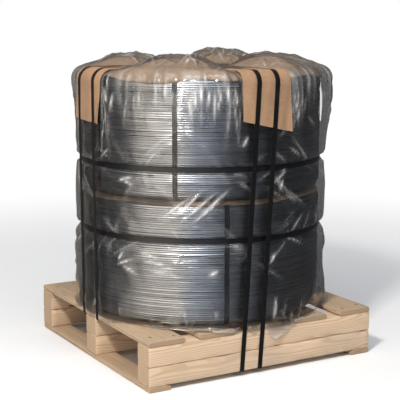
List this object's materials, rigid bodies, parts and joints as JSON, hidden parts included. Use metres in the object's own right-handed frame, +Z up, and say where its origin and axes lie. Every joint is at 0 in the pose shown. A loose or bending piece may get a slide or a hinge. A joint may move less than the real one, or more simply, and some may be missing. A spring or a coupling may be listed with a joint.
{
  "type": "palletised coil of wire rod",
  "caption": "Coils of steel wire rod stacked on a timber pallet with cardboard between and on top, wrapped in clear film and strapped down over cardboard edge protectors.",
  "frame": {"origin": "on the floor under the middle of the pallet", "axes": "+Z up, the pallet's front face looks along -Y, +X to the right of it"},
  "size_m": [1.0158, 1.0184, 1.2073],
  "materials": {
    "steel_rod": "dark blue-grey drawn rod",
    "deck_timber": "sawn pine",
    "stringer_timber": "sawn pine",
    "kraft_sheet": "brown corrugated board",
    "kraft_protector": "brown corrugated board",
    "clear_film": "clear wrinkled polythene",
    "black_strap": "embossed polyester strap"
  },
  "bodies": {
    "root": {"bottom_board_left": "deck_timber", "bottom_board_right": "deck_timber", "deck_board_1": "deck_timber", "deck_board_2": "deck_timber", "deck_board_3": "deck_timber", "deck_board_4": "deck_timber", "deck_board_5": "deck_timber", "stringer_front_lower": "stringer_timber", "stringer_front_upper": "stringer_timber", "stringer_middle_lower": "stringer_timber", "stringer_middle_upper": "stringer_timber", "stringer_back_lower": "stringer_timber", "stringer_back_upper": "stringer_timber", "lower_coil": "steel_rod", "upper_coil": "steel_rod", "lower_coil_ties": "black_strap", "upper_coil_ties": "black_strap", "hoop_strap_lower": "black_strap", "hoop_strap_upper": "black_strap", "long_strap_left": "black_strap", "long_strap_right": "black_strap", "cross_strap_front": "black_strap", "cross_strap_back": "black_strap", "divider_sheet": "kraft_sheet", "top_sheet": "kraft_sheet", "edge_protector_front": "kraft_protector", "edge_protector_right": "kraft_protector", "edge_protector_back": "kraft_protector", "edge_protector_left": "kraft_protector", "film_wrap": "clear_film"}
  },
  "joints": []
}
